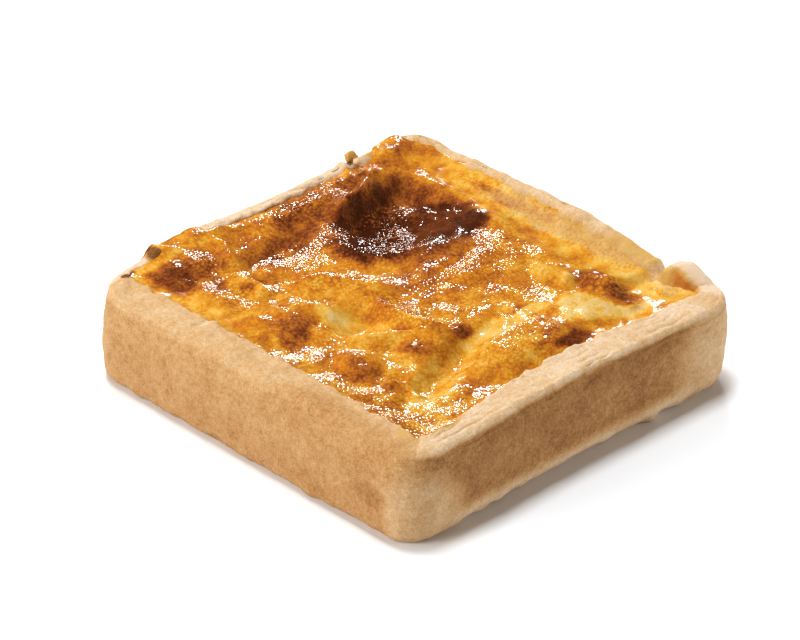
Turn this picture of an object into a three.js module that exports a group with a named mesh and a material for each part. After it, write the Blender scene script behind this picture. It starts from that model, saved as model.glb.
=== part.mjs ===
// A square quiche lorraine: a shortcrust pastry case with rounded corners, and the custard baked in it.
// Millimetres, +Z up. The case rests on z = 0 and the origin lies under the middle of its bounding box.
// The four walls are numbered round the case: 0 faces +X, 1 faces +Y, 2 faces -X and 3 faces -Y.
import * as THREE from "three";

// Driving dimensions
const SIDE = 100; // outside of the case, from wall to wall
const HEIGHT = 21.7; // table to rim, before the rim's own unevenness
const BASE = 4.5; // pastry under the custard
const BELLY = 0.5; // the walls swell by this much
const BELLY_BAND = [0.4, 0.62]; // between these shares of the height
const INNER_FOOT = 10.5; // wall thickness at the level of the base
const INNER_FILLET = 2.5; // rounding where the walls meet the floor inside
const INNER_LEVELS = [0.72, 0.45]; // shares of the height at which the inside of the walls is divided
const SMALLEST_CORNER = 2; // corner radius of the inside of the case
const GAP = 0.3; // clearance between custard and pastry
const HALF = SIDE / 2;

// Corner radii, in the order of the corners: after wall 0, after wall 1, after wall 2, after wall 3.
const CORNER_RADII = [10, 11, 9, 8.3];
const STRAIGHT_SHARE = 0.86; // the share of a wall's parameter that runs along its straight stretch
const SET_IN = [0, 0, 1.3, 0]; // how far each whole wall shrank in

// What changes round the case, at eight stations: the corner before wall 0, the middle of wall 0, and so on.
const FOOT_REACH = [3, 4, 4, 4, 2.4, 1.8, 3, 5]; // the rounded foot, level with the table
const FOOT_RISE = [4, 4, 4, 4, 3.2, 3.6, 3.6, 5]; // and up the wall
const RIM_RISE = [-0.9, 0.6, 0, 0.1, -0.6, 0, 0, 0.2];
const RIM_ROUNDING = [1.2, 1.4, 1.4, 1.2, 1.2, 2.2, 2.4, 0.8]; // the rim's outer edge
const INNER_ROUNDING = [2.4, 3, 2.2, 0.8, 0.8, 0.8, 0.8, 0.8]; // and its inner edge
const WALL_BOW = [0, 0.8, 0, 0.2, 0, 0, 0, -1.6]; // how far out the wall bows at the rim
const FREEBOARD = [0.9, 0.7, 0.5, 1.0, -0.3, 0.5, 0.6, 1.2]; // the custard's edge below the rim
const CLING = [0.8, 1, 1, 1, 0.5, 0.1, 0.2, 0.1]; // how much its edge climbs to that level
// The wall's thickness at the rim, at the start, middle and end of each wall.
const RIM_THICKNESS = [[4.4, 4.8, 4], [3.4, 3.2, 2.4], [8.2, 8.2, 7.4], [6.4, 8, 8.6]];
const LEAN = 2; // wall 2 leans in by this much at the rim
const LEAN_REACH = 36; // and takes along what lies this close to it

// The rim's own shapes: place along a wall, half width there and rise.
const RIM_FEATURES = [
  { wall: 0, at: -0.6, width: 0.06, rise: -2.6 }, // a tear
  { wall: 0, at: -0.74, width: 0.15, rise: 3 }, // the raised flap beside it
  { wall: 0, at: -0.52, width: 0.4, rise: -1.3 }, // the rim sags towards the tear
  { wall: 0, at: 1, width: 0.22, rise: 1.2 }, // the back corner stands up, on both its walls
  { wall: 1, at: -1, width: 0.25, rise: 1.2 },
  { wall: 1, at: -0.57, width: 0.04, rise: 0.9 }, // a lump of dough
  { wall: 1, at: 0.4, width: 0.5, rise: 1.4 }, // a swell where the custard is brimful
  { wall: 1, at: 0.69, width: 0.07, rise: 1.4 }, // a lump beside it
];
// Where the custard's edge stays lower, under the flap and at the tear, and where it is level with the rim.
const EDGE_DIPS = [
  { wall: 0, at: -0.74, width: 0.15, rise: 3 },
  { wall: 0, at: -0.64, width: 0.12, rise: 0.5 },
];
const BRIMFUL = [{ wall: 1, at: 0.55, width: 0.42, rise: 2.5 }];

// The custard stands at these levels in the corners, in the order of CORNER_RADII.
const LEVELS = [20.8, 20.4, 18.3, 16];
const CROWN = 2.5; // the most that it stands above the rim in the middle
const CROWN_FALL = 8; // the power with which that falls to the edge
const CLING_FROM = 0.82; // share of the way to the edge from which the custard climbs
const FILM_CLEAR = 0.6; // how far under the rounded inner edge of the rim the custard's edge follows it
// Blisters that stayed up and hollows where one fell in: place, half lengths, turn, rise, flat share.
const BLISTERS = [
  { at: [21, 25], reach: [16, 14], turn: 10, rise: -1.5, flat: 0.1 }, // burnt hollow
  { at: [-29, 42], reach: [13, 9], turn: 0, rise: 1.8, flat: 0.2 }, // left corner dome
  { at: [14, 44], reach: [27, 6], turn: 2, rise: 1.2, flat: 0.3 }, // back ridge
  { at: [-32, 28], reach: [9, 8], turn: 0, rise: 1, flat: 0.1 }, // left blister
  { at: [-29, 11], reach: [13, 10], turn: -35, rise: 1.9, flat: 0.2 }, // lens blister
  { at: [-7, 35], reach: [17, 5], turn: 4, rise: -2, flat: 0.2 }, // brown gully
  { at: [-15, 1], reach: [8, 9], turn: 0, rise: -2, flat: 0.2 }, // pale valley
  { at: [-28, -12], reach: [6.5, 6.5], turn: 0, rise: 1.9, flat: 0.3 }, // front left dome
  { at: [-13, -16], reach: [7, 6], turn: -20, rise: 1.4, flat: 0.1 }, // middle dome
  { at: [-12, -24], reach: [30, 5.5], turn: 18, rise: -2.2, flat: 0.1 }, // pale trough
  { at: [-25, -24], reach: [5, 5], turn: 30, rise: -0.9, flat: 0.1 }, // front pit
  { at: [5, -31], reach: [21, 9], turn: 3, rise: 2.4, flat: 0.3 }, // front dome
  { at: [25, -27], reach: [8, 10], turn: 30, rise: 1.2, flat: 0.3 }, // right sheet
  { at: [36, -22], reach: [6, 7], turn: 0, rise: 2, flat: 0.1 }, // right lump
  { at: [16, 2], reach: [20, 12], turn: 0, rise: 0.9, flat: 0.2 }, // middle swell
  { at: [46, -6], reach: [11, 44], turn: 0, rise: -2.2, flat: 0.2 }, // slumped edge
  { at: [38, 13], reach: [9, 9], turn: 0, rise: 1.1, flat: 0 }, // swell right of the hollow
];
// Folds of the skin: a crest that falls off gently on the right of its path and steeply on the left.
const FOLDS = [
  // the hollow's back lip, the drop under it and the near lip
  { rise: 2.8, gentle: 4.5, steep: 2, path: [[33, 42], [27, 40], [21, 37], [16, 36.5], [9, 33]] },
  { rise: -3.7, gentle: 3, steep: 25, path: [[37, 38], [30, 36.5], [24, 34.5], [17, 33.5], [8, 29]] },
  { rise: 1.6, gentle: 6, steep: 3, path: [[8, 30], [4, 23], [5, 17.5], [10, 13], [18, 11.5], [29, 11]] },
  // the edges of the left corner dome, the left blister and the lens blister
  { rise: 1.8, gentle: 5, steep: 2, path: [[-18, 47], [-16.5, 41], [-21, 33.5]] },
  { rise: 1.7, gentle: 5, steep: 1.6, path: [[-25, 33], [-23.5, 28], [-22.5, 24], [-24, 19]] },
  { rise: 2, gentle: 6, steep: 1.6, path: [[-24, 18.5], [-21, 14.5], [-20.5, 12], [-17.5, 8], [-19, 3]] },
  // the long crest that winds from the left to the middle, in two parts
  { rise: 2.1, gentle: 7, steep: 2.5, path: [[-19, 21], [-9.5, 18], [-6.5, 13], [-4, 8], [2, 6]] },
  {
    rise: 2.1, gentle: 5, steep: 2.5,
    path: [[-5.5, 5], [-6.5, 0], [-7, -6], [-6, -10], [-4, -14], [-3, -19]],
  },
  // the middle crest, the trough's lip, the sheet's edge and the ridges beside them
  {
    rise: 1.8, gentle: 5, steep: 1.6,
    path: [[-24, 0], [-18, -6], [-13, -9], [-9, -12.5], [-7.5, -17], [-7, -23]],
  },
  { rise: 1, gentle: 4, steep: 2, path: [[-9, -27], [3, -24.5], [18, -25]] },
  { rise: 1.4, gentle: 5, steep: 2, path: [[23, -20], [28, -27], [37, -36]] },
  { rise: 1.5, gentle: 3, steep: 3, path: [[31, -19], [31, -13], [29, -7]] },
  { rise: 1.1, gentle: 3, steep: 2, path: [[-30, -20], [-25, -24], [-27, -31]] },
];
const FOLD_TAPER = 0.2; // share of a fold's length over which it dies away at each end

// Fineness of the facets
const WALL_STEPS = 30; // along each wall of the case
const CUSTARD_STEPS = 29; // from the middle of the custard to its edge
const ROUND_STEPS = 3; // across each rounded edge

const smooth = (t) => THREE.MathUtils.smoothstep(t, 0, 1);
const mix = THREE.MathUtils.lerp;

// A value given at the eight stations of the rim, read at t from -1 to 1 along a wall.
function roundTheRim(stations, wall, t) {
  const first = 2 * wall + (t < 0 ? 0 : 1);
  return mix(stations[first % 8], stations[(first + 1) % 8], smooth(t < 0 ? t + 1 : t));
}

// A point of the plan at t along a wall, set in by inset there and by beside at the next wall's end.
function plan(wall, t, inset, beside) {
  const corner = CORNER_RADII[t < 0 ? (wall + 3) % 4 : wall];
  const radius = Math.max(corner - Math.max(inset, beside), SMALLEST_CORNER);
  const [across, straight] = [HALF - inset - radius, HALF - beside - radius];
  const turn = (Math.max(Math.abs(t) - STRAIGHT_SHARE, 0) / (1 - STRAIGHT_SHARE)) * (Math.PI / 4);
  const along = turn > 0 ? straight + radius * Math.sin(turn) : (Math.abs(t) / STRAIGHT_SHARE) * straight;
  const point = new THREE.Vector2(across + radius * Math.cos(turn), Math.sign(t) * along);
  return point.rotateAround(new THREE.Vector2(), (wall * Math.PI) / 2);
}

// The wall that a place on a wall is nearest to, and where on it the corner between them lies.
const besides = (wall, t) => (t < 0 ? [(wall + 3) % 4, 1] : [(wall + 1) % 4, -1]);

// Baking bows each wall with the cube of the height and leans wall 2 with its square, custard and all.
function baked(wall, t, point, z, share = 1) {
  const height = z / HEIGHT;
  const outward = new THREE.Vector2(1, 0).rotateAround(new THREE.Vector2(), (wall * Math.PI) / 2);
  point.addScaledVector(outward, roundTheRim(WALL_BOW, wall, t) * smooth(share) * height ** 3);
  const lean = LEAN * height * height * smooth(-point.x / LEAN_REACH);
  return new THREE.Vector3(point.x + lean, point.y, z);
}

function rimThickness(wall, t) {
  const [start, middle, end] = RIM_THICKNESS[wall];
  return t < 0 ? mix(start, middle, smooth(t + 1)) : mix(middle, end, smooth(t));
}

// The sum of local rises at a place along a wall.
function localRise(features, wall, t) {
  const own = features.filter((feature) => feature.wall === wall);
  return own.reduce((sum, { at, width, rise }) => sum + rise * smooth(1 - Math.abs(t - at) / width), 0);
}

const rimHeight = (wall, t) => HEIGHT + roundTheRim(RIM_RISE, wall, t) + localRise(RIM_FEATURES, wall, t);

// How far from the outside of the wall its inner face lies at a height, below the rounding of the rim.
function innerInset(wall, t, z) {
  const top = rimHeight(wall, t) - roundTheRim(INNER_ROUNDING, wall, t);
  return mix(rimThickness(wall, t), INNER_FOOT, THREE.MathUtils.clamp((top - z) / (top - BASE), 0, 1));
}

// How far the rounded inner edge of the rim falls back from the inner face at a height.
function lipFall(wall, t, z) {
  const inner = roundTheRim(INNER_ROUNDING, wall, t);
  const up = THREE.MathUtils.clamp(z - rimHeight(wall, t) + inner, 0, inner);
  return inner - Math.sqrt(inner * inner - up * up);
}

// A quarter of an ellipse in the wall's section, as inset and height, from an angle.
function quarter(inset, z, across, up, from) {
  return Array.from({ length: ROUND_STEPS + 1 }, (_, i) => {
    const angle = from + (i / ROUND_STEPS) * (Math.PI / 2);
    return [inset - across * Math.cos(angle), z + up * Math.sin(angle)];
  });
}

// The section of the wall as inset and height, from the foot over the rim to the floor inside.
function wallSection(wall, t) {
  const top = rimHeight(wall, t);
  const [reach, rise] = [roundTheRim(FOOT_REACH, wall, t), roundTheRim(FOOT_RISE, wall, t)];
  const [outer, inner] = [roundTheRim(RIM_ROUNDING, wall, t), roundTheRim(INNER_ROUNDING, wall, t)];
  const lip = rimThickness(wall, t) - inner;
  const innerHeights = [...INNER_LEVELS.map((share) => HEIGHT * share), BASE + INNER_FILLET];
  return [
    ...quarter(reach, rise, reach, rise, -Math.PI / 2),
    ...BELLY_BAND.map((share) => [-BELLY, HEIGHT * share]),
    ...quarter(outer, top - outer, outer, outer, 0),
    ...quarter(lip, top - inner, inner, inner, Math.PI / 2),
    ...innerHeights.map((z) => [innerInset(wall, t, z), z]),
    [INNER_FOOT + INNER_FILLET, BASE],
  ];
}

// Every place round the case: wall number and t along that wall, steps to a wall.
function roundTheCase(steps) {
  const places = [];
  for (let wall = 0; wall < 4; wall++)
    for (let i = 0; i < steps; i++) places.push({ wall, t: (2 * i) / steps - 1 });
  return places;
}

function blisterRise({ at, reach, turn, rise, flat }, x, y) {
  const local = new THREE.Vector2(x - at[0], y - at[1]);
  local.rotateAround(new THREE.Vector2(), -THREE.MathUtils.degToRad(turn));
  const far = Math.hypot(local.x / reach[0], local.y / reach[1]);
  return rise * smooth((1 - far) / (1 - flat));
}

// The nearest point of a fold's path says how far from its crest, on which side and how far along a place is.
function foldRise({ path, rise, gentle, steep }, x, y) {
  let nearest = { distance: Infinity };
  for (let i = 0; i + 1 < path.length; i++) {
    const [ax, ay] = path[i];
    const [dx, dy] = [path[i + 1][0] - ax, path[i + 1][1] - ay];
    const along = ((x - ax) * dx + (y - ay) * dy) / (dx * dx + dy * dy);
    const share = THREE.MathUtils.clamp(along, 0, 1);
    const distance = Math.hypot(x - ax - share * dx, y - ay - share * dy);
    const left = dx * (y - ay) - dy * (x - ax) > 0;
    if (distance < nearest.distance)
      nearest = { distance, left, along: (i + share) / (path.length - 1) };
  }
  const reach = nearest.left ? steep : gentle;
  const ends = smooth(Math.min(nearest.along, 1 - nearest.along) / FOLD_TAPER);
  return rise * ends * smooth(1 - nearest.distance / reach);
}

// The top of the custard above the table at a place in plan.
function custardTop(x, y) {
  const [u, v] = [x / SIDE + 0.5, y / SIDE + 0.5];
  const level = mix(mix(LEVELS[2], LEVELS[3], u), mix(LEVELS[1], LEVELS[0], u), v);
  const blisters = BLISTERS.reduce((sum, blister) => sum + blisterRise(blister, x, y), 0);
  return FOLDS.reduce((sum, fold) => sum + foldRise(fold, x, y), level + blisters);
}

function surface(points, triangles) {
  const geometry = new THREE.BufferGeometry().setFromPoints(points);
  geometry.setIndex(triangles);
  geometry.computeVertexNormals();
  return geometry;
}

// Joins two rings of equal length, whose first vertices are a and b, by triangles that face out.
function band(a, b, length) {
  const triangles = [];
  for (let i = 0; i < length; i++) {
    const next = (i + 1) % length;
    triangles.push(a + i, a + next, b + next, a + i, b + next, b + i);
  }
  return triangles;
}

function fan(centre, ring, length, facesUp) {
  const triangles = [];
  for (let i = 0; i < length; i++) {
    const [a, b] = [ring + i, ring + ((i + 1) % length)];
    triangles.push(centre, ...(facesUp ? [a, b] : [b, a]));
  }
  return triangles;
}

// The case: the wall's section carried round the plan, closed below by the base and inside by its floor.
function pastryCase() {
  const places = roundTheCase(WALL_STEPS);
  const others = places.map(({ wall, t }) => besides(wall, t));
  const sections = places.map(({ wall, t }) => wallSection(wall, t));
  const otherSections = others.map((other) => wallSection(...other));
  const rings = sections[0].length;
  const points = [];
  for (let ring = 0; ring < rings; ring++)
    places.forEach(({ wall, t }, i) => {
      const [inset, z] = sections[i][ring];
      const beside = otherSections[i][ring][0] + SET_IN[others[i][0]];
      points.push(baked(wall, t, plan(wall, t, inset + SET_IN[wall], beside), z));
    });
  const triangles = [];
  for (let ring = 0; ring + 1 < rings; ring++)
    triangles.push(...band(ring * places.length, (ring + 1) * places.length, places.length));
  points.push(new THREE.Vector3(0, 0, 0), new THREE.Vector3(0, 0, BASE));
  triangles.push(...fan(points.length - 2, 0, places.length, false));
  triangles.push(...fan(points.length - 1, (rings - 1) * places.length, places.length, true));
  return surface(points, triangles);
}

// A point of the inside of the case, clear of the wall and its rounded edge, drawn to the middle by share.
function inside(wall, t, z, share = 1) {
  const [other, end] = besides(wall, t);
  const over = lipFall(wall, t, z - FILM_CLEAR) * share ** CROWN_FALL;
  const clear = Math.max(BASE + INNER_FILLET - z, 0) + GAP - over;
  const inset = innerInset(wall, t, z) + SET_IN[wall] + clear;
  const beside = innerInset(other, end, z) + SET_IN[other] + clear;
  return plan(wall, t, inset, beside).multiplyScalar(share);
}

// A point of the custard's top: a square grid whose rings are the inside of the case drawn smaller.
function custardPoint(column, row) {
  const [u, v] = [column / CUSTARD_STEPS, row / CUSTARD_STEPS];
  const share = Math.max(Math.abs(u), Math.abs(v));
  let [wall, t] = Math.abs(u) >= Math.abs(v) ? [u > 0 ? 0 : 2, v] : [v > 0 ? 1 : 3, -u];
  t = share ? (t / share) * (wall < 2 ? 1 : -1) : 0;
  const rough = inside(wall, t, HEIGHT, share);
  const brimful = Math.min(localRise(BRIMFUL, wall, t), 1);
  const below = roundTheRim(FREEBOARD, wall, t) * (1 - brimful);
  const brim = rimHeight(wall, t) - localRise(EDGE_DIPS, wall, t) - below;
  const most = mix(HEIGHT + CROWN, brim, share ** CROWN_FALL);
  const cling = Math.max(roundTheRim(CLING, wall, t), brimful);
  const climb = cling * (Math.max(share - CLING_FROM, 0) / (1 - CLING_FROM)) ** 2;
  const z = mix(Math.min(custardTop(rough.x, rough.y), most), brim, climb);
  return baked(wall, t, inside(wall, t, z, share), z, share);
}

// The custard: its uneven top, sides that follow the inside of the case, and a flat underside.
function custardFilling() {
  const across = 2 * CUSTARD_STEPS + 1;
  const points = [];
  const triangles = [];
  const vertex = (column, row) => (row + CUSTARD_STEPS) * across + column + CUSTARD_STEPS;
  for (let row = -CUSTARD_STEPS; row <= CUSTARD_STEPS; row++)
    for (let column = -CUSTARD_STEPS; column <= CUSTARD_STEPS; column++)
      points.push(custardPoint(column, row));
  for (let row = -CUSTARD_STEPS; row < CUSTARD_STEPS; row++)
    for (let column = -CUSTARD_STEPS; column < CUSTARD_STEPS; column++) {
      const [a, b] = [vertex(column, row), vertex(column + 1, row)];
      const [c, d] = [vertex(column + 1, row + 1), vertex(column, row + 1)];
      const level = Math.abs(points[a].z - points[c].z) < Math.abs(points[b].z - points[d].z);
      triangles.push(...(level ? [a, b, c, a, c, d] : [b, c, d, b, d, a]));
    }
  const places = roundTheCase(2 * CUSTARD_STEPS);
  const edge = places.map(({ wall, t }) => {
    const place = new THREE.Vector2(CUSTARD_STEPS, t * CUSTARD_STEPS);
    place.rotateAround(new THREE.Vector2(), (wall * Math.PI) / 2).round();
    return vertex(place.x, place.y);
  });
  const rings = [HEIGHT * INNER_LEVELS.at(-1), BASE + INNER_FILLET, BASE + GAP].map((z) => {
    const start = points.length;
    places.forEach(({ wall, t }) => points.push(baked(wall, t, inside(wall, t, z), z)));
    return start;
  });
  band(0, places.length, places.length).forEach((i) =>
    triangles.push(i < places.length ? rings[0] + i : edge[i - places.length]));
  for (let ring = 0; ring + 1 < rings.length; ring++)
    triangles.push(...band(rings[ring + 1], rings[ring], places.length));
  points.push(new THREE.Vector3(0, 0, BASE + GAP));
  triangles.push(...fan(points.length - 1, rings.at(-1), places.length, false));
  return surface(points, triangles);
}

const pastry = new THREE.MeshStandardMaterial({ color: "#d9ad77", roughness: 0.8, metalness: 0 });
const custard = new THREE.MeshStandardMaterial({ color: "#c87a24", roughness: 0.35, metalness: 0 });

const quiche = new THREE.Group();
const parts = { pastry_case: [pastryCase(), pastry], custard_filling: [custardFilling(), custard] };
for (const [name, [geometry, material]] of Object.entries(parts)) {
  const mesh = new THREE.Mesh(geometry, material);
  mesh.name = name;
  quiche.add(mesh);
}
const middle = new THREE.Box3().setFromObject(quiche).getCenter(new THREE.Vector3());
quiche.children.forEach((mesh) => mesh.position.set(-middle.x, -middle.y, 0));

export default quiche;
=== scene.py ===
"""A square quiche lorraine on a white table: the baked pastry case and the browned custard in it.

Lengths are in millimetres until a mesh is made. The walls are numbered round the case: 0 faces +X,
1 faces +Y, 2 faces -X and 3 faces -Y, and t runs from -1 to 1 along a wall, counter-clockwise.
"""

import itertools
import math

import bpy
import numpy as np
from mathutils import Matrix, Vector


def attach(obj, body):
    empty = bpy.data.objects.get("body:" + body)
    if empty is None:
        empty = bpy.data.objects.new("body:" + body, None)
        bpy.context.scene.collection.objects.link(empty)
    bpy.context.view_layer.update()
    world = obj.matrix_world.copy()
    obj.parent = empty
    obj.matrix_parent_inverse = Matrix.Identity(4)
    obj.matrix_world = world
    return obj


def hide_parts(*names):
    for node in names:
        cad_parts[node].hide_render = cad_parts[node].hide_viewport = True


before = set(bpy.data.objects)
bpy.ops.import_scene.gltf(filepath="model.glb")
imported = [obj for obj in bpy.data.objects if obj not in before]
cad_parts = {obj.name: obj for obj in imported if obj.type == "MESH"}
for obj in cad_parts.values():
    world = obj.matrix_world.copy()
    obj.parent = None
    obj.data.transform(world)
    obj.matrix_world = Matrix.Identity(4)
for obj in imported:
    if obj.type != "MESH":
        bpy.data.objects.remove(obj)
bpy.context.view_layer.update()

MM = 0.001
MIDDLE = np.array([-0.917, -0.029, 0.0])  # the middle of the base in the part's frame

# Sizes of the case, as in the solids
SIDE = 100.0
HALF = SIDE / 2
HEIGHT = 21.7
BASE = 4.5
BELLY = 0.5
INNER_FOOT = 10.5
INNER_FILLET = 2.5
SMALLEST_CORNER = 2.0
CORNER_RADII = np.array([10, 11, 9, 8.3])
STRAIGHT_SHARE = 0.86
SET_IN = np.array([0, 0, 1.3, 0])
LEAN = 2.0
LEAN_REACH = 36.0
SEAL = 0.5  # how far the custard reaches into the pastry

# Values round the case at eight stations: the corner before wall 0, the middle of wall 0, and so on
FOOT_REACH = np.array([3, 4, 4, 4, 2.4, 1.8, 3, 5])
FOOT_RISE = np.array([4, 4, 4, 4, 3.2, 3.6, 3.6, 5])
RIM_RISE = np.array([-0.9, 0.6, 0.0, 0.1, -0.6, 0, 0, 0.2])
RIM_ROUNDING = np.array([1.2, 1.4, 1.4, 1.2, 1.2, 2.2, 2.4, 0.8])
INNER_ROUNDING = np.array([2.4, 3, 2.2, 0.8, 0.8, 0.8, 0.8, 0.8])
WALL_BOW = np.array([0, 0.8, 0, 0.2, 0, 0, 0, -1.6])
LAYERED = np.array([0.8, 0.4, 0.3, 0.3, 0.7, 1.1, 0.9, 1.1])
FREEBOARD = np.array([0.9, 0.7, 0.5, 1.0, -0.3, 0.5, 0.6, 1.2])
CLING = np.array([0.8, 1, 1, 1, 0.5, 0.1, 0.2, 0.1])
CLIMB_FROM = 0.82  # share of the way to the edge from which the custard climbs the wall
# Wall thickness at the rim, at the start, middle and end of each wall
RIM_THICKNESS = np.array([[4.4, 4.8, 4], [3.4, 3.2, 2.4], [8.2, 8.2, 7.4], [6.4, 8.0, 8.6]])
# Local features of the rim: wall, place along it, half width there, rise
RIM_FEATURES = [
    (0, -0.6, 0.06, -2.6),
    (0, -0.74, 0.15, 3.0),
    (0, -0.52, 0.4, -1.3),
    (0, 1.0, 0.22, 1.2),
    (1, -1.0, 0.25, 1.2),
    (1, -0.57, 0.04, 0.9),
    (1, 0.4, 0.5, 1.4),
    (1, 0.69, 0.07, 1.4),
]
# Where the custard's edge stays lower, under the flap and at the tear:
# wall, place along it, half width there, depth
EDGE_DIPS = [(0, -0.74, 0.15, 3.0), (0, -0.64, 0.12, 0.5)]
# Where the custard has run over the rim: wall, place along it, half width there, how far out
OVERFLOWS = [(1, 0.55, 0.42, 1.7), (1, -0.86, 0.16, 0.6)]
OVERFLOW_FULL = 0.93  # share of the way to the edge from which it lies on the rim
OVERFLOW_LIFT = 0.15  # how far it stands above the rim
OVERFLOW_SOFT = 0.7  # share of the half width over which it dies away

# Layers of dough that part at the rim, over the top and down the outside:
# distance from its edge, half width, depth
TOP_LAYERS = [(1.6, 0.3, 0.4), (3.6, 0.3, 0.3), (5.8, 0.35, 0.25)]
SIDE_LAYERS = [(1.5, 0.3, 0.2), (3.0, 0.35, 0.12)]
# Unevenness of the rim's inner edge, and how far from it that reaches
RAGGED = 0.7
RAGGED_REACH = 2.2
# Cracks in the pastry: the two axes that they are drawn on, their ends there, depth and half width
CRACKS = [((0, 1), (-43, 21.4), (-37.2, 20.2), 0.5, 0.6), ((1, 2), (-39.4, 20.8), (-44.3, 15.9), 0.45, 0.5)]
# Drips and lumps of dough at the foot: place, reach, rise
DRIPS = [((24, -48, 1), 3.2, 1.3), ((-48, -20, 1), 4, 0.7), ((-48, 9, 1), 3, -0.7), ((33, -48.5, 1), 4, 0.5)]
# Crumbs on the rim: place, half lengths, toasting, egg
CRUMBS = [((29.3, 48.9, 22.9), (1.5, 1.3, 1.3), 0.2, 0.62), ((29.5, 46.9, 22.3), (1.2, 1.0, 0.9), 0.1, 0.0)]
# Toasting of the pastry from 0 (floury) to 1 (burnt), wall by wall, on the wall and on its rim
WALL_TOAST = np.array([0.40, 0.40, 0.46, 0.71])
RIM_TOAST = np.array([0.22, 0.04, 0.32, 0.14])
RIM_FROM = np.array([0.84, 0.84, 0.84, 0.92])  # shares of the height between which it becomes the rim's
RIM_TO = 0.97
# The pale foot of wall 3 and the darker lower part of wall 2: toasting, top and fade in shares of the height
PALE_FOOT, PALE_FOOT_TOP, PALE_FOOT_FADE = 0.12, 0.32, 0.18
LOW_TOAST, LOW_TOP, LOW_FADE = 0.06, 0.6, 0.3
TOAST_MOTTLE = 0.08
# Marks on the pastry, one of them partly a painted highlight: place, half lengths, toasting
MARKS = [
    ((-47, -28, 18), (8, 30, 10), 0.52),
    ((-49, -38, 9.4), (5, 6.5, 3.8), 0.66),
    ((46, -47, 10), (22, 9, 18), 0.24),
    ((-45, -49, 6), (15, 9, 14), 0.28),
    # Paler top of the flap: partly floury pastry, partly a painted highlight
    ((48, -41, 23), (4, 9, 4), -0.3),
    ((-45, 47, 10), (9, 9, 9), 0.40),
    ((-30, 48, 23.6), (4.0, 3.6, 3.0), 1.0),
    ((-39.2, 47.0, 21.2), (1.5, 1.5, 1.5), 1.2),
    ((-40, 20.6, 21.2), (3, 1.2, 1.5), 0.05),
]
# Egg on the pastry: place, half lengths, and how much, from 0.5 (a yellow film) to 1 (baked orange)
STAINS = [
    ((-33, -43.6, 21), (8, 1.6, 1.6), 0.9),
    ((-40, -41, 21), (4, 4, 3), 0.3),
    ((38, 47.5, 22.6), (7, 3.5, 3), 0.8),
    ((48, -22, 21.5), (4, 12, 3), 0.5),
]
# Egg inside the wall: how much as a film and where it is baked on, the depth below the rim where it begins
# and fades in, and the baked part's place and half lengths
EGG_FILM, EGG_BAKED = 0.5, 0.95
EGG_FROM, EGG_FADE = 0.2, 1.6
BAKED_ON = ((45, -37.8, 20.8), (6, 5, 5))

# Levels of the custard in the corners, and the blisters and hollows on it:
# place, half lengths, turn in degrees, rise, share that is flat
LEVELS = [20.8, 20.4, 18.3, 16]
BLISTERS = [
    ((21, 25), (16, 14), 10, -1.5, 0.1),
    ((-29, 42), (13, 9), 0, 1.8, 0.2),
    ((14, 44), (27, 6), 2, 1.2, 0.3),
    ((-32, 28), (9, 8), 0, 1.0, 0.1),
    ((-29, 11), (13, 10), -35, 1.9, 0.2),
    ((-7, 35), (17, 5), 4, -2.0, 0.2),
    ((-15, 1), (8, 9), 0, -2.0, 0.2),
    ((-28, -12), (6.5, 6.5), 0, 1.9, 0.3),
    ((-13, -16), (7, 6), -20, 1.4, 0.1),
    ((-12, -24), (30, 5.5), 18, -2.2, 0.1),
    ((-25, -24), (5, 5), 30, -0.9, 0.1),
    ((5, -31), (21, 9), 3, 2.4, 0.3),
    ((25, -27), (8, 10), 30, 1.2, 0.3),
    ((36, -22), (6, 7), 0, 2.0, 0.1),
    ((16, 2), (20, 12), 0, 0.9, 0.2),
    ((46, -6), (11, 44), 0, -2.2, 0.2),
    ((38, 13), (9, 9), 0, 1.1, 0),
]
# Folds of the skin: path of the crest, rise, and its reach on the right and on the left of the path
FOLDS = [
    ([(33, 42), (27, 40), (21, 37), (16, 36.5), (9, 33)], 2.8, 4.5, 2),
    ([(37, 38), (30, 36.5), (24, 34.5), (17, 33.5), (8, 29)], -3.7, 3, 25),
    ([(8, 30), (4, 23), (5, 17.5), (10, 13), (18, 11.5), (29, 11)], 1.6, 6, 3),
    ([(-18, 47), (-16.5, 41), (-21, 33.5)], 1.8, 5, 2),
    ([(-25, 33), (-23.5, 28), (-22.5, 24), (-24, 19)], 1.7, 5, 1.6),
    ([(-24, 18.5), (-21, 14.5), (-20.5, 12), (-17.5, 8), (-19, 3)], 2.0, 6, 1.6),
    ([(-19, 21), (-9.5, 18), (-6.5, 13), (-4, 8), (2, 6)], 2.1, 7, 2.5),
    ([(-5.5, 5), (-6.5, 0), (-7, -6), (-6, -10), (-4, -14), (-3, -19)], 2.1, 5, 2.5),
    ([(-24, 0), (-18, -6), (-13, -9), (-9, -12.5), (-7.5, -17), (-7, -23)], 1.8, 5, 1.6),
    ([(-9, -27), (3, -24.5), (18, -25)], 1.0, 4, 2),
    ([(23, -20), (28, -27), (37, -36)], 1.4, 5, 2),
    ([(31, -19), (31, -13), (29, -7)], 1.5, 3, 3),
    ([(-30, -20), (-25, -24), (-27, -31)], 1.1, 3, 2),
]
FOLD_TAPER = 0.2

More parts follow.
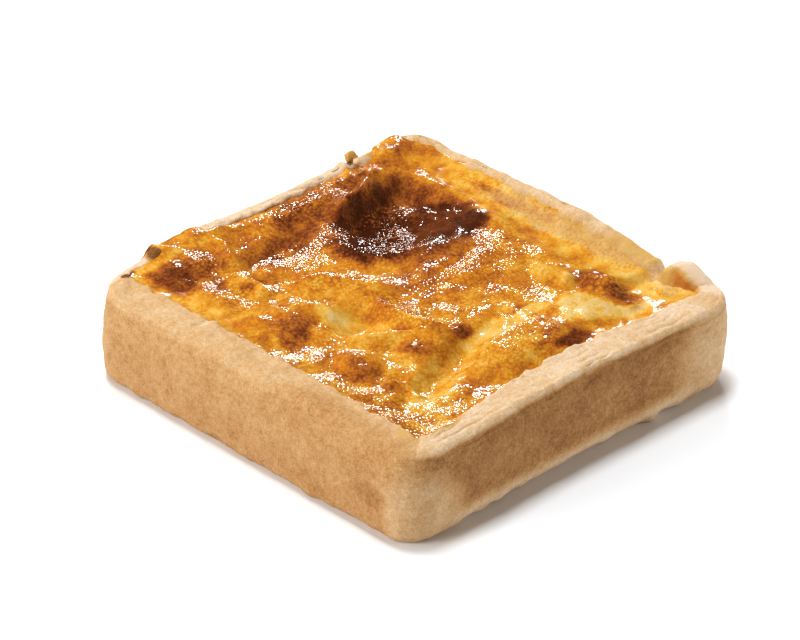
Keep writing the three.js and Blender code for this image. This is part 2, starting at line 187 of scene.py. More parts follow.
# Where the skin is grainy with small blisters, or dull: place, half lengths, turn, share of the full grain
PLAIN_GRAIN = 0.5
GRAINY = [
    ((8, 21), (11, 9), -35, 1.0),
    ((12, 44), (22, 5), 2, 0.9),
    ((-22, 39), (5, 8), 10, 1.0),
    ((-25, 28), (4, 8), 0, 0.8),
    ((-4, 26), (13, 6), 0, 0.7),
    ((-8, 16), (10, 4), -40, 0.9),
    ((-5, -4), (4.5, 13), 0, 1.0),
    ((18, 0), (20, 11), 0, 0.7),
    ((-28, 6), (9, 5), 45, 0.6),
    ((-28, -14), (6, 6), 0, 0.6),
    ((-13, -17), (6, 5), 0, 0.6),
    ((5, -30), (15, 6), 0, 0.7),
    ((-34, -22), (4, 15), 5, 0.8),
    ((-35, -37), (6, 5), 0, 1.0),
    ((35, -26), (5, 6), 0, 0.8),
    ((25, -27), (5, 6), 0, 0.5),
    ((44.5, -2), (8, 48), 0, -1.0),
    ((15, 27), (10, 8), 10, 1.7),
    ((27, 16), (12, 6), 8, 0.12),
    ((31, -38.5), (6, 3), 0, -0.5),
    ((41, -36), (5, 7), 0, -0.9),
    ((-17, 1), (5, 9), 0, 0.15),
    ((4, -23), (18, 2.8), 8, 0.15),
    ((40, -35.5), (1.4, 4), 0, 1.0),
    ((-37, 27), (5, 15), 0, -0.5),
]

# Browning of the custard, with painted shade in some patches: place, half lengths, turn, browning from
# 0 (pale) to 1 (burnt), softness of its edge. The places are read at this level along the line of sight, so
# they are looked up there.
SIGHT = np.array([1.123, 1.152])  # how far that line moves in the plan for each millimetre of height
BROWNING_LEVEL = 20.0
PLAIN_BROWNING = 0.36
BROWNED_AND_SHADED = [
    ((15, 2), (26, 12), 0, 0.46, 0.8),
    ((18, 7), (14, 5), 0, 0.54, 0.7),
    ((28, 0), (4, 4), 0, 0.40, 0.7),
    ((4, 3), (6, 7), 0, 0.50, 0.7),
    ((10, -13), (18, 4), 5, 0.38, 0.8),
    ((0, 26), (10, 6), 0, 0.48, 0.8),
    ((-14, 26), (10, 5), 0, 0.44, 0.8),
    ((-5, 22), (3.5, 3), 0, 0.34, 0.7),
    ((20, 25), (19.5, 15.5), 10, 0.76, 0.5),
    ((30, 28), (8, 12), 0, 0.68, 0.8),
    ((34, 26), (4, 7), 0, 0.54, 0.8),
    ((9, 22), (8, 8), -35, 0.90, 0.8),
    # Painted shade as well as burning: the dark band at the foot of the crest, on the far side of the burnt
    # hollow
    ((18, 34.5), (12, 4.5), 22, 0.91, 0.7),
    ((27, 19), (13, 7), 10, 0.88, 0.7),
    ((29, 14), (11, 5), 5, 0.95, 0.7),
    ((33, 36), (4, 8), 0, 0.60, 0.7),
    ((10, 44), (26, 5), 0, 0.52, 0.6),
    ((6, 39), (9, 4), 5, 0.68, 0.6),
    ((-3, 45), (6, 4), 0, 0.38, 0.7),
    ((22, 43), (8, 3), 10, 0.62, 0.6),
    ((-5, 34), (14, 5), 4, 0.62, 0.6),
    ((-12, 40), (7, 5), 0, 0.52, 0.7),
    ((-15, 44), (3, 5), 20, 0.36, 0.6),
    ((41, 44), (8, 8), 0, 0.42, 0.6),
    ((43, 46), (2.4, 1.6), 20, 0.50, 0.6),
    ((-25, 42), (10, 7), 0, 0.56, 0.6),
    ((-31.5, 42), (6, 4.5), 10, 0.78, 0.7),
    ((-31.5, 36.5), (5, 4), 20, 0.72, 0.7),
    ((-30, 48.5), (14, 2), 0, 0.22, 0.6),
    ((-27, 33), (4, 6), 0, 0.54, 0.7),
    ((-31, 22), (8, 10), 0, 0.35, 0.8),
    ((-22, 27.5), (2.2, 1.7), 0, 0.60, 0.6),
    ((-30, 10), (8, 9), 0, 0.42, 0.8),
    # Painted shade as well as browning: the darker front face of the lens-shaped blister, turned from the
    # light
    ((-27, 7), (11, 4), 47, 0.60, 0.6),
    ((-15, 15), (5, 8), 20, 0.33, 0.7),
    ((-17, 4), (4.5, 7), 0, 0.19, 0.7),
    ((-17, -7), (6, 5), 0, 0.24, 0.7),
    ((-19, -2), (6, 3), 0, 0.20, 0.7),
    ((-11, -3), (2.4, 9), 8, 0.40, 0.6),
    ((-5, 3), (2.6, 8), 0, 0.43, 0.7),
    ((-5, -8), (3, 8), 0, 0.33, 0.7),
    ((-3, -18), (3.2, 3), -20, 0.60, 0.6),
    ((-30, -7), (5, 4), 0, 0.44, 0.8),
    ((-29, -14), (5, 6.4), 0, 0.52, 0.5),
    ((-14, -17), (4.5, 4.5), 20, 0.52, 0.7),
    ((-22, -30), (16, 5), 28, 0.22, 0.6),
    ((-8, -24.5), (13, 3.4), 16, 0.26, 0.6),
    ((8, -22), (14, 3), 4, 0.14, 0.6),
    ((-28, -25), (1.8, 4), 0, 0.52, 0.6),
    ((-35, -30), (3.2, 6), 0, 0.44, 0.7),
    ((-30, -38), (9, 3), 30, 0.24, 0.6),
    ((3, -31), (13, 6.5), 0, 0.31, 0.6),
    ((-15, -36.5), (5, 4.5), 0, 0.50, 0.7),
    ((12, -33.5), (6, 6), 0, 0.48, 0.7),
    ((12, -36.5), (4.6, 3.2), 0, 0.76, 0.5),
    ((13, -20), (4.4, 1.5), 5, 0.50, 0.7),
    ((23, -28), (5, 7), -25, 0.02, 0.6),
    ((26, -33), (6, 3.5), -40, 0.02, 0.7),
    ((30, -37), (7, 3), 0, 0.12, 0.6),
    ((28, -14), (3.5, 7), 0, 0.16, 0.7),
    ((33, -21), (4.5, 4), 0, 0.60, 0.6),
    ((33.5, -29), (4, 4), 0, 0.64, 0.6),
    ((33, -33.5), (4, 2.5), 0, 0.56, 0.6),
    ((43.5, -6), (7.5, 40), 0, 0.32, 0.6),
    ((40, -22), (4.5, 14), 0, 0.29, 0.7),
    ((41.5, 11), (1.8, 8), 0, 0.24, 0.7),
    ((44.3, 15), (2, 14), 0, 0.62, 0.8),
    ((39, 1), (2, 10), 8, 0.45, 0.8),
    ((45, 48), (3, 3), 0, 0.48, 0.8),
    ((-28, 54), (3, 1.8), 0, 0.85, 0.7),
    ((-36, 49), (2, 1.4), 0, 0.75, 0.7),
    ((-20, -17), (3, 4), 0, 0.24, 0.7),
    ((41, -35), (6, 9), 0, 0.12, 0.7),
]

# How far the patches of grain and browning wander, how soft their edges are, and how mottled the browning is
GRAIN_WANDER = 2.0
GRAIN_SOFT = 0.9
BROWNING_WANDER = 1.6
BROWNING_MOTTLE = 0.16
PATCH_END = 1.15  # where a patch ends, as a share of its half lengths

# Relief of the custard's skin: creased lumps, small blisters, and wrinkles round the burnt hollow
LUMP_RISE = 0.9
SMALL_LUMP_RISE = 0.15
LUMPS_BY_GRAIN = (0.6, 1.3)  # share of the lumps without grain and at full grain
BLISTER_RISE = 0.08
BLISTER_SIZE = 1.1
BLISTER_SHIFT = 0.5
WRINKLE_RISE = 0.3
WRINKLES_ACROSS, WRINKLES_ROUND = 14, 4  # how close they lie outwards and round the hollow
WRINKLES_AT = ((21, 25), (17.5, 14), 10)  # the hollow: place, half lengths, turn
FAR_SLOPE = ((31, 29), (10, 15))  # where they show: place, half lengths

# The custard towards its edge, by the share of the way out from the middle
CROWN = 2.5  # how far the middle may stand above the rim
EDGE_POWER = 8  # power of the share by which the edge's own height and place take over
CALM_FROM = 0.94  # from here the skin calms down to a share of its relief
CALM_SHARE = 0.3
DROP_FROM = 0.985  # from here the edge drops
DROP = 0.8
SIDE_LEVEL = HEIGHT * 0.45  # height of the ring between the edge and the foot of its sides

# Roughness of the crust: unevenness of the rim, coarse and fine roughness, and more of it near the table,
# where all of it fades to the flat underside
THICKNESS_UNEVEN = 0.45
HEIGHT_UNEVEN = 0.25
COARSE_ROUGH = 0.2
FINE_ROUGH = 0.10
FOOT_ROUGH = 0.3
FOOT_ROUGH_TOP, FOOT_ROUGH_FADE = 4, 3
UNDERSIDE_FADE = 0.5
CRACKED_TO = 9  # distance from the outside to which the cracks run
CRUMB_UNEVEN = 0.35
# The parted layers: how they waver, how deep the level top reaches, and how patchy they are on it
WAVER, SMALL_WAVER, SIDE_WAVER = 1.8, 0.5, 0.6
LEVEL_DEPTH, LEVEL_FADE = 1.2, 0.8
PATCHY = 1.2
OUTSIDE = 1.0  # distance from the outside within which the side's layers lie

# Fineness of the meshes
WALL_STEPS = 200
CUSTARD_STEPS = 150
FOOT_RINGS = 12
SIDE_RINGS = 40
SIDE_CROWDING = 1.3  # power by which the rings of the side crowd towards the rim
EDGE_RINGS = 12
TOP_RINGS = 22
LIP_RINGS = 6
INNER_RINGS = 20
CRUMB_RINGS = 12
TINY = 1e-9  # keeps divisions off zero


def ease(share):
    """0 below 0, 1 above 1 and a smooth cubic between: 3s^2 - 2s^3."""
    share = np.clip(share, 0, 1)
    return share * share * (3 - 2 * share)


def mix(a, b, share):
    """a at share 0, b at share 1, in proportion between."""
    return a + (b - a) * share


SCATTER = 4096  # random values that the cells of the noise share
SCATTER_PRIMES = np.array([73856093, 19349663, 83492791])
NOISE_GAIN = 1.6  # brings the noise to about -1 to 1


def scatter_key(cell):
    """Which of the random values a cell has: its whole-number place times primes, the products joined by
    exclusive or."""
    return np.bitwise_xor.reduce(cell * SCATTER_PRIMES[: cell.shape[-1]], axis=-1) % SCATTER


def noise(points, size, seed):
    """Gradient noise: random unit vectors at the corners of cells of that size, each dotted with the offset
    from its corner, blended with the quintic 6f^5 - 15f^4 + 10f^3. About -1 to 1."""
    vectors = np.random.default_rng(seed).normal(size=(SCATTER, 3))
    vectors /= np.linalg.norm(vectors, axis=1)[:, None]
    scaled = np.asarray(points) / size
    cell = np.floor(scaled).astype(np.int64)
    offset = scaled - cell
    weight = offset**3 * (offset * (offset * 6 - 15) + 10)
    total = np.zeros(scaled.shape[:-1])
    for corner in itertools.product((0, 1), repeat=3):
        place = cell + corner
        key = scatter_key(place)
        share = np.prod(np.where(corner, weight, 1 - weight), axis=-1)
        total += share * np.einsum("...k,...k->...", vectors[key], offset - corner)
    return total * NOISE_GAIN


def fractal(points, size, octaves, seed):
    """Noise summed over octaves, each half as large and half as high as the one before."""
    return sum(noise(points, size / 2**k, seed + k) / 2**k for k in range(octaves))


def pebbles(place, size, seed):
    """Cell noise in the plan: each cell of that size holds a random point, and the height falls from 1 there
    with the square of the distance to the nearest one."""
    scattered = np.random.default_rng(seed).random((SCATTER, 2))
    scaled = place / size
    cell = np.floor(scaled).astype(np.int64)
    nearest = np.full(scaled.shape[:-1], np.inf)
    for step in itertools.product((-1, 0, 1), repeat=2):
        other = cell + step
        key = scatter_key(other)
        nearest = np.minimum(nearest, np.sum((other + scattered[key] - scaled) ** 2, axis=-1))
    return 1 - np.minimum(nearest, 1)


def round_the_rim(stations, wall, t):
    """A value given at the eight stations of the rim, eased from one station to the next."""
    first = 2 * wall + (t >= 0)
    return mix(stations[first % 8], stations[(first + 1) % 8], ease(np.where(t < 0, t + 1, t)))


def unevenness(wall, t, size, seed):
    """Noise of that size along the rim, and half as much of a third of the size, read on a circle as long
    as the rim so that it closes."""
    angle = (wall + (t + 1) / 2) * math.pi / 2
    ring = np.stack([np.cos(angle), np.sin(angle), 0 * angle], axis=-1) * SIDE * 2 / math.pi
    return noise(ring, size, seed) + 0.5 * noise(ring, size / 3, seed + 1)


def rim_thickness(wall, t):
    """The wall's thickness at the rim, eased from its start to its middle and on to its end,
    a little uneven."""
    start, middle, end = RIM_THICKNESS[wall, 0], RIM_THICKNESS[wall, 1], RIM_THICKNESS[wall, 2]
    even = np.where(t < 0, mix(start, middle, ease(t + 1)), mix(middle, end, ease(t)))
    return even + THICKNESS_UNEVEN * unevenness(wall, t, size=9, seed=97)


def local_rise(features, wall, t):
    """Sum of local rises along the walls, each eased from its place to its half width."""
    shapes = ((rise * (wall == its_wall), abs(t - at) / width) for its_wall, at, width, rise in features)
    return sum(rise * ease(1 - far) for rise, far in shapes)


def rim_height(wall, t):
    """Height of the rim: the case's height, the rise of the stations, unevenness and the local features."""
    even = HEIGHT + round_the_rim(RIM_RISE, wall, t) + local_rise(RIM_FEATURES, wall, t)
    return even + HEIGHT_UNEVEN * unevenness(wall, t, size=7, seed=101)


def besides(wall, t):
    """The wall round the nearer corner from a place on a wall, and the end of it that lies at the corner."""
    return np.where(t < 0, wall + 3, wall + 1) % 4, np.where(t < 0, 1.0, -1.0)


def quarter_turn(wall, x, y):
    """x out of wall 0 and y along it, turned by as many quarter turns as the wall's number."""
    cos, sin = np.array([1, 0, -1, 0])[wall], np.array([0, 1, 0, -1])[wall]
    return x * cos - y * sin, x * sin + y * cos


def plan(wall, t, inset, beside):
    """A point of the plan: a straight stretch, then half of the corner's arc, set in by inset at this wall
    and by beside at the next."""
    corner = CORNER_RADII[np.where(t < 0, wall + 3, wall) % 4]
    radius = np.maximum(corner - np.maximum(inset, beside), SMALLEST_CORNER)
    across, straight = HALF - inset - radius, HALF - beside - radius
    turn = np.clip((abs(t) - STRAIGHT_SHARE) / (1 - STRAIGHT_SHARE), 0, 1) * math.pi / 4
    along = np.where(turn > 0, straight + radius * np.sin(turn), abs(t) / STRAIGHT_SHARE * straight)
    return quarter_turn(wall, across + radius * np.cos(turn), np.sign(t) * along)


def baked(wall, t, x, y, z, share=1.0):
    """Points after baking: each wall bows with the cube of the height, and wall 2 leans in with
    its square."""
    bow = round_the_rim(WALL_BOW, wall, t) * ease(share) * (z / HEIGHT) ** 3
    out_x, out_y = quarter_turn(wall, bow, 0 * bow)
    x, y = x + out_x, y + out_y
    x = x + LEAN * (z / HEIGHT) ** 2 * ease(-x / LEAN_REACH)
    return np.stack(np.broadcast_arrays(x, y, z), axis=-1)


def inner_inset(wall, t, z):
    """How far in the wall's inner face lies at a height: straight from the rounding of the rim
    to the base."""
    top = rim_height(wall, t) - round_the_rim(INNER_ROUNDING, wall, t)
    down = np.clip((top - z) / (top - BASE), 0, 1)
    return mix(rim_thickness(wall, t), INNER_FOOT, down) + SET_IN[wall]


def round_the_case(steps):
    """Wall number and t of every place round the case, steps to a wall."""
    wall = np.repeat(np.arange(4), steps)
    return wall, np.tile(2 * np.arange(steps) / steps - 1, 4)


def turned(place, middle, degrees):
    """A place seen from a middle, with the axes turned by that angle."""
    x, y = place[0] - middle[0], place[1] - middle[1]
    cos, sin = math.cos(math.radians(degrees)), math.sin(math.radians(degrees))
    return x * cos + y * sin, y * cos - x * sin


def fold_rise(path, rise, gentle, steep, x, y):
    """A crest along a path: rise times an eased fall over the distance, wider on one side,
    dying away at the ends."""
    best = np.full(np.shape(x), np.inf)
    left, along = np.zeros(np.shape(x), bool), np.zeros(np.shape(x))
    for i, ((ax, ay), (bx, by)) in enumerate(itertools.pairwise(path)):
        dx, dy = bx - ax, by - ay
        share = np.clip(((x - ax) * dx + (y - ay) * dy) / (dx * dx + dy * dy), 0, 1)
        distance = np.hypot(x - ax - share * dx, y - ay - share * dy)
        nearer = distance < best
        best = np.where(nearer, distance, best)
        left = np.where(nearer, dx * (y - ay) - dy * (x - ax) > 0, left)
        along = np.where(nearer, (i + share) / (len(path) - 1), along)
    ends = ease(np.minimum(along, 1 - along) / FOLD_TAPER)
    return rise * ends * ease(1 - best / np.where(left, steep, gentle))


def custard_top(x, y):
    """Height of the custard: a level bilinear between the corners, plus every blister and fold."""
    u, v = x / SIDE + 0.5, y / SIDE + 0.5
    z = mix(mix(LEVELS[2], LEVELS[3], u), mix(LEVELS[1], LEVELS[0], u), v)
    for at, reach, turn, rise, flat in BLISTERS:
        a, b = turned((x, y), at, turn)
        z = z + rise * ease((1 - np.hypot(a / reach[0], b / reach[1])) / (1 - flat))
    for path, rise, gentle, steep in FOLDS:
        z = z + fold_rise(path, rise, gentle, steep, x, y)
    return z


def in_sight(points):
    """Where the line of sight through each point meets the level that the browning's places are read at."""
    return np.moveaxis(points[..., :2] + (points[..., 2:] - BROWNING_LEVEL) * SIGHT, -1, 0)


def patch(place, at, reach, turn, soft):
    """Share of an elliptical patch at each place: 1 inside, easing to 0 over the soft part of its reach."""
    a, b = turned(place, at, turn)
    return ease((PATCH_END - np.hypot(a / reach[0], b / reach[1])) / soft)


def grain(points):
    """Share of the full grain at each point: the plain share, mixed towards each grainy patch's share
    inside it, with edges that wander by noise."""
    wander = np.stack([fractal(points, size=6, octaves=3, seed=seed) for seed in (71, 74)])
    place = in_sight(points) + GRAIN_WANDER * wander
    share = np.full(points.shape[:-1], PLAIN_GRAIN)
    for at, reach, turn, value in GRAINY:
        share = mix(share, value, patch(place, at, reach, turn, GRAIN_SOFT))
    return share


def browning_and_shade(points):
    """Browning from 0 to 1, with painted shade in some patches: the plain value, mixed towards each patch's
    value inside its ellipse, whose edge wanders by noise, then mottled."""
    wander = np.stack([fractal(points, size=5, octaves=3, seed=seed) for seed in (11, 21)])
    place = in_sight(points) + BROWNING_WANDER * wander
    tone = np.full(points.shape[:-1], PLAIN_BROWNING)
    for at, reach, turn, value, soft in BROWNED_AND_SHADED:
        tone = mix(tone, value, patch(place, at, reach, turn, soft))
    return np.clip(tone + BROWNING_MOTTLE * fractal(points, size=4, octaves=4, seed=31), 0, 1)


def custard_skin(points, share):
    """Fine relief of the skin: creased lumps from the size of noise, small round blisters where it is
    grainy, and wrinkles round the far slope of the burnt hollow."""
    place = points[..., :2]
    lumps = LUMP_RISE * abs(noise(points, size=8, seed=61))
    lumps = lumps + SMALL_LUMP_RISE * abs(noise(points, size=3.4, seed=62))
    shaken = place + noise(points, size=2, seed=63)[..., None] * BLISTER_SHIFT
    blisters = BLISTER_RISE * pebbles(shaken, BLISTER_SIZE, seed=64) * share
    hollow, (long, wide), turn = WRINKLES_AT
    a, b = turned(np.moveaxis(place, -1, 0), hollow, turn)
    far = np.hypot(a / long, b / wide)
    slope = within(place, *FAR_SLOPE)
    across = np.stack([far * WRINKLES_ACROSS, np.arctan2(b, a) * WRINKLES_ROUND, 0 * far], axis=-1)
    wrinkles = WRINKLE_RISE * abs(noise(across, size=1, seed=65)) * slope
    return lumps * mix(*LUMPS_BY_GRAIN, share) + blisters + wrinkles


def add_mesh(name, points, faces, attributes, material, smooth=None):
    """A mesh object from points in millimetres round the middle of the base, with float attributes on its
    points, whose first faces are smooth, or all of them."""
    mesh = bpy.data.meshes.new(name)
    mesh.from_pydata((points + MIDDLE) * MM, [], faces)
    mesh.polygons.foreach_set("use_smooth", np.arange(len(faces)) < (smooth or len(faces)))
    for key, values in attributes.items():
        mesh.attributes.new(key, "FLOAT", "POINT").data.foreach_set("value", values.astype(np.float32))
    mesh.materials.append(material)
    obj = bpy.data.objects.new(name, mesh)
    bpy.context.scene.collection.objects.link(obj)
    return obj


def grid_faces(rows, columns, closed):
    """The quads of a grid of points, row by row; closed grids join the last column to the first."""
    start = np.arange(rows - 1)[:, None] * columns
    column = np.arange(columns if closed else columns - 1)[None, :]
    after = (column + 1) % columns
    below = start + columns
    return np.stack([start + column, start + after, below + after, below + column], -1).reshape(-1, 4)


def normals(points):
    """Unit normals of a grid of points closed along its columns, from differences along both directions."""
    down = np.gradient(points, axis=0)
    along = np.roll(points, -1, axis=1) - np.roll(points, 1, axis=1)
    cross = np.cross(along, down)
    return cross / np.maximum(np.linalg.norm(cross, axis=-1, keepdims=True), TINY)


def arc(inset, z, across, up, start, steps):
    """A quarter of an ellipse in the wall's section, as insets and heights, from a start angle."""
    angle = (start + np.linspace(0, 1, steps) * math.pi / 2)[:, None]
    return inset - across * np.cos(angle), z + up * np.sin(angle)


def wall_section(wall, t):
    """Inset and height of the wall's section at each place: round the foot, up the swelling wall, over
    the rim and down the inside to the floor."""
    top, thick = rim_height(wall, t), rim_thickness(wall, t)
    edge, soft = round_the_rim(RIM_ROUNDING, wall, t), round_the_rim(INNER_ROUNDING, wall, t)
    reach, rise = round_the_rim(FOOT_REACH, wall, t), round_the_rim(FOOT_RISE, wall, t)
    up = np.linspace(0, 1, SIDE_RINGS + 2)[1:-1, None]
    level = np.linspace(0, 1, TOP_RINGS + 2)[1:-1, None]
    down = np.linspace(0, 1, INNER_RINGS + 1)[1:, None]
    side = mix(rise, top - edge, 1 - (1 - up) ** SIDE_CROWDING)
    inner = mix(top - soft, BASE + INNER_FILLET, down)
    lip = thick - soft
    parts = [
        arc(reach, rise, reach, rise, -math.pi / 2, FOOT_RINGS),
        (-BELLY * np.sin(math.pi * up) + 0 * side, side),
        arc(edge, top - edge, edge, edge, 0, EDGE_RINGS),
        (mix(edge, lip, level), top + 0 * level),
        arc(lip, top - soft, soft, soft, math.pi / 2, LIP_RINGS),
        (inner_inset(wall, t, inner) - SET_IN[wall], inner),
        (INNER_FOOT + INNER_FILLET + 0 * top[None], BASE + 0 * top[None]),
    ]
    inset = np.concatenate([part[0] for part in parts])
    z = np.concatenate([part[1] for part in parts])
    return inset, z


def parted_layers(points, inset, depth, layered):
    """Grooves between layers of dough: round valleys at wavering distances from the rim's edge, cut into
    the top here and there where it is level, and into the outside below the edge."""
    waver = WAVER * noise(points, size=16, seed=91) + SMALL_WAVER * noise(points, size=4, seed=92)
    over = ease((LEVEL_DEPTH - depth) / LEVEL_FADE) * ease(0.5 + PATCHY * noise(points, size=9, seed=93))
    relief = 0 * depth
    for at, width, deep in TOP_LAYERS:
        relief = relief - deep * over * np.exp(-(((inset + waver - at) / width) ** 2))
    for at, width, deep in SIDE_LAYERS:
        valley = np.exp(-(((depth + SIDE_WAVER * waver - at) / width) ** 2))
        relief = relief - deep * (inset < OUTSIDE) * valley
    return relief * layered


def crack_relief(points):
    """Cracks: round valleys along straight lines drawn on two of the axes."""
    relief = np.zeros(points.shape[:-1])
    for axes, start, end, deep, width in CRACKS:
        place = points[..., axes] - np.array(start)
        line = np.array(end) - np.array(start)
        share = np.clip(place @ line / (line @ line), 0, 1)[..., None]
        distance = np.linalg.norm(place - share * line, axis=-1)
        relief = relief - deep * np.exp(-((distance / width) ** 2))
    return relief


def within(points, place, reach):
    """Share of a soft ellipsoid at each point: 1 in its inner half, easing to 0 at its reach."""
    far = np.linalg.norm((points - np.array(place)) / np.array(reach), axis=-1)
    return ease((1 - far) / 0.5)


def toasting_and_highlight(points, wall, rise):
    """Toasting of the pastry: each wall's own, paler at the rim and at the foot of wall 3, darker low on
    wall 2, then the marks (one of them partly a painted highlight), mottled."""
    up = ease((rise - RIM_FROM[wall]) / (RIM_TO - RIM_FROM[wall]))
    toast = mix(WALL_TOAST[wall], RIM_TOAST[wall], up)
    foot = ease((PALE_FOOT_TOP - rise) / PALE_FOOT_FADE) * (wall == 3)
    toast = mix(toast, PALE_FOOT, foot) + LOW_TOAST * (wall == 2) * ease((LOW_TOP - rise) / LOW_FADE)
    for place, reach, value in MARKS:
        toast = mix(toast, value, within(points, place, reach))
    toast = toast + TOAST_MOTTLE * fractal(points, size=8, octaves=3, seed=81)
    return toast + TOAST_MOTTLE * fractal(points, size=2.2, octaves=3, seed=84)


def pastry_case(material):
    """The case: the section carried round the plan, roughened along its normals, closed by base and floor."""
    wall, t = round_the_case(WALL_STEPS)
    inset, z = wall_section(wall, t)
    other, end = besides(wall, t)
    beside, _ = wall_section(other, end)
    x, y = plan(wall, t, inset + SET_IN[wall], beside + SET_IN[other])
    points = baked(wall, t, x, y, z)
    depth = rim_height(wall, t) - z
    rough = COARSE_ROUGH * fractal(points, size=7, octaves=3, seed=41)
    rough += FINE_ROUGH * fractal(points, size=2, octaves=3, seed=51)
    rough += parted_layers(points, inset, depth, round_the_rim(LAYERED, wall, t))
    rough += crack_relief(points) * (inset < CRACKED_TO)
    by_edge = ease(1 - abs(inset - rim_thickness(wall, t)) / RAGGED_REACH) * (z > BASE)
    rough += RAGGED * fractal(points, size=3, octaves=3, seed=57) * by_edge
    low = ease((FOOT_ROUGH_TOP - z) / FOOT_ROUGH_FADE)
    rough += FOOT_ROUGH * fractal(points, size=4, octaves=3, seed=55) * low
    for place, reach, rise in DRIPS:
        rough += rise * ease(1 - np.linalg.norm(points - np.array(place), axis=-1) / reach)
    points = points + normals(points) * (rough * ease(z / UNDERSIDE_FADE))[..., None]
    points[..., 2] = np.maximum(points[..., 2], 0)
    rings, count = points.shape[:2]
    flat = points.reshape(-1, 3)
    faces = grid_faces(rings, count, True).tolist()
    faces += [list(range(count))[::-1], list(range((rings - 1) * count, rings * count))]
    inner = np.arange(rings)[:, None] > FOOT_RINGS + SIDE_RINGS + EDGE_RINGS + TOP_RINGS
    egg = mix(EGG_FILM, EGG_BAKED, within(points, *BAKED_ON))
    stain = egg * inner * ease((depth - EGG_FROM) / EGG_FADE)
    for place, reach, strength in STAINS:
        stain = np.maximum(stain, strength * within(points, place, reach))
    toast = toasting_and_highlight(points, np.broadcast_to(wall, z.shape), z / rim_height(wall, t))
    attributes = {"stain": stain.ravel(), "toast": toast.ravel()}
    return add_mesh("quiche_case", flat, faces, attributes, material)


def crumbs(material):
    """Crumbs on the rim: balls whose radius wanders by noise, one grid of rings each, closed at both ends."""
    angle = np.linspace(0, math.pi, CRUMB_RINGS)[:, None]
    turn = np.arange(2 * CRUMB_RINGS) * math.pi / CRUMB_RINGS
    ring = np.sin(angle)
    ball = np.broadcast_arrays(ring * np.cos(turn), ring * np.sin(turn), -np.cos(angle))
    ball = np.stack(ball, axis=-1)
    ball[0], ball[-1] = (0, 0, -1), (0, 0, 1)
    points, faces, toast, stain = [], [], [], []
    for place, reach, tone, egg in CRUMBS:
        first = sum(len(part) for part in points)
        uneven = 1 + CRUMB_UNEVEN * noise(ball * 2 + np.array(place), size=1.5, seed=95)
        lump = np.array(place) + ball * np.array(reach) * uneven[..., None]
        points.append(lump.reshape(-1, 3))
        faces += (first + grid_faces(CRUMB_RINGS, 2 * CRUMB_RINGS, True)).tolist()
        toast.append(np.full(ball.shape[0] * ball.shape[1], tone))
        stain.append(np.full(ball.shape[0] * ball.shape[1], egg))
    attributes = {"stain": np.concatenate(stain), "toast": np.concatenate(toast)}
    return add_mesh("quiche_crumbs", np.concatenate(points), faces, attributes, material)


def inside(wall, t, z, share=1.0, over=0.0):
    """A place just within the inner face of the case at a height, which follows the rounding of the rim by
    the circle's height over its chord, moved out by over and drawn in by share."""
    other, end = besides(wall, t)
    soft = round_the_rim(INNER_ROUNDING, wall, t)
    up = np.clip(z - rim_height(wall, t) + soft, 0, soft)
    lip = (soft - np.sqrt(soft**2 - up**2)) * share**EDGE_POWER
    more = np.maximum(BASE + INNER_FILLET - z, 0) - SEAL - lip
    x, y = plan(wall, t, inner_inset(wall, t, z) + more - over, inner_inset(other, end, z) + more)
    return x * share, y * share


def custard_filling(material):
    """The custard: rings of the inside of the case drawn smaller and lifted to the custard's top, with sides
    that follow the inside of the case and a flat underside."""
    step = np.arange(-CUSTARD_STEPS, CUSTARD_STEPS + 1) / CUSTARD_STEPS
    u, v = np.meshgrid(step, step)
    share = np.maximum(abs(u), abs(v))
    sideways = abs(u) >= abs(v)
    wall = np.where(sideways, np.where(u > 0, 0, 2), np.where(v > 0, 1, 3))
    t = np.where(sideways, v, -u) / np.maximum(share, TINY) * np.where(wall < 2, 1, -1)
    over, brimful = 0.0, 0.0
    for over_wall, over_at, over_width, over_reach in OVERFLOWS:
        here = (wall == over_wall) * ease((1 - abs(t - over_at) / over_width) / OVERFLOW_SOFT)
        over, brimful = over + over_reach * here, brimful + here
    x, y = inside(wall, t, HEIGHT, share, over)
    below = local_rise(EDGE_DIPS, wall, t) + round_the_rim(FREEBOARD, wall, t) * (1 - brimful)
    cling = np.maximum(round_the_rim(CLING, wall, t), brimful)
    brim = rim_height(wall, t) - below + OVERFLOW_LIFT * brimful
    z = np.minimum(custard_top(x, y), mix(HEIGHT + CROWN, brim, share**EDGE_POWER))
    full = mix(1, OVERFLOW_FULL, brimful)
    climb = np.clip((share - CLIMB_FROM) / (full - CLIMB_FROM), 0, 1) ** 2
    z = mix(z, brim, cling * climb)
    x, y = inside(wall, t, z, share, over)
    points = baked(wall, t, x, y, z, share)
    grainy = grain(points)
    calm = mix(1, CALM_SHARE, ease((share - CALM_FROM) / (1 - CALM_FROM)))
    points[..., 2] += custard_skin(points, grainy) * calm
    drop = DROP * ease((share - DROP_FROM) / (1 - DROP_FROM))
    points[..., 2] -= drop * (wall > 0) * (1 - cling)
    across = len(step)
    vertex = np.arange(across * across).reshape(across, across)
    rim = np.concatenate([vertex[:-1, -1], vertex[-1, :0:-1], vertex[:0:-1, 0], vertex[0, :-1]])
    wall, t = round_the_case(2 * CUSTARD_STEPS)
    levels = np.array([SIDE_LEVEL, BASE + INNER_FILLET, BASE])[:, None]
    x, y = inside(wall, t, levels)
    sides = baked(wall, t, x, y, levels + 0 * x).reshape(-1, 3)
    flat = np.concatenate([points.reshape(-1, 3), sides])
    rings = np.concatenate([rim, np.arange(across * across, len(flat))]).reshape(-1, len(rim))[::-1]
    faces = grid_faces(across, across, False).tolist()
    faces += rings.ravel()[grid_faces(len(rings), len(rim), True)].tolist()
    faces.append(rings[0][::-1].tolist())
    attributes = {"browning_and_shade": browning_and_shade(flat), "grain": grain(flat)}
    return add_mesh("quiche_custard", flat, faces, attributes, material, (across - 1) ** 2)


